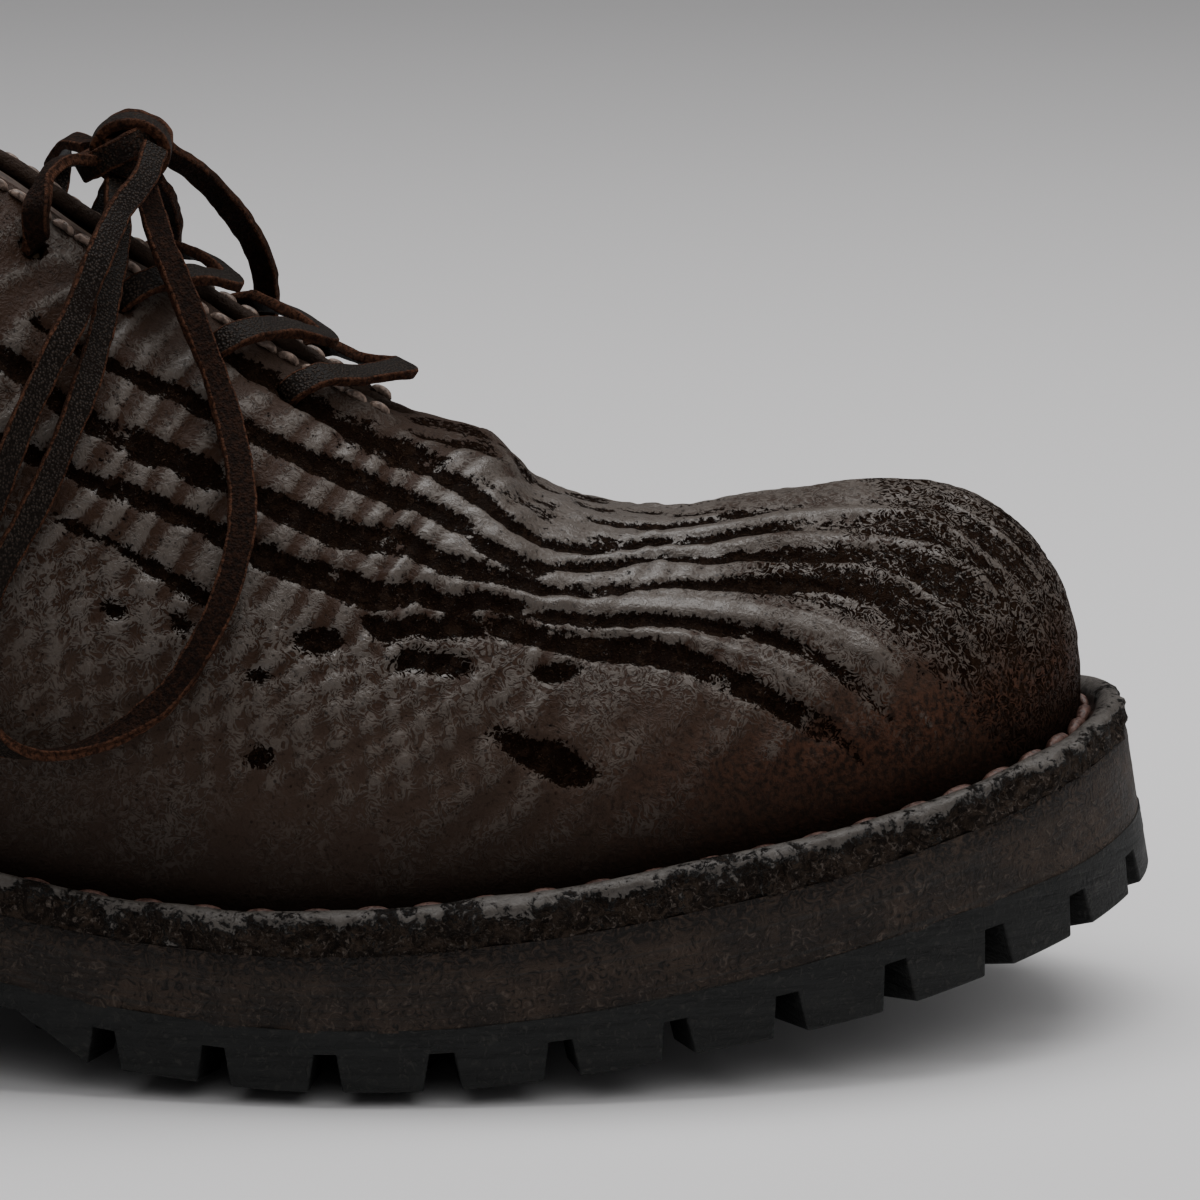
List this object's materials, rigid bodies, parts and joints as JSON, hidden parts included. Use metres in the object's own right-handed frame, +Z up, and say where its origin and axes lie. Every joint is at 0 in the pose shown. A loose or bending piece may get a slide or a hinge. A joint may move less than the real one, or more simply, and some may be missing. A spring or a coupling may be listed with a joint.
{
  "type": "plain toe derby",
  "caption": "Plain toe derby shoe for the right foot: ridged dark leather upper, leather laces in a bow, raised welt and lugged rubber sole.",
  "frame": {"origin": "middle of the shoe's box on the floor, measured without the knot, loops and ends of the lace", "axes": "+X toward the toe along the shoe's length, +Y toward the inner (medial) side, +Z up"},
  "size_m": [0.3056, 0.1036, 0.1322],
  "materials": {
    "upper_leather": "waxed ridges over rough furrows",
    "insole_leather": "matte",
    "sole_leather": "rough cut edge",
    "sole_rubber": "matte",
    "lace_leather": "pebbled"
  },
  "bodies": {
    "root": {"upper": "upper_leather", "tongue": "upper_leather", "insole": "insole_leather", "welt": "sole_leather", "midsole": "sole_leather", "heel_stack": "sole_leather", "outsole": "sole_rubber", "heel_lift": "sole_rubber", "lace_bar_1": "lace_leather", "lace_bar_2": "lace_leather", "lace_bar_3": "lace_leather", "lace_top_lateral": "lace_leather", "lace_top_medial": "lace_leather", "lace_knot": "lace_leather", "lace_loop_lateral": "lace_leather", "lace_loop_medial": "lace_leather", "lace_end_lateral": "lace_leather", "lace_end_medial": "lace_leather"}
  },
  "joints": []
}
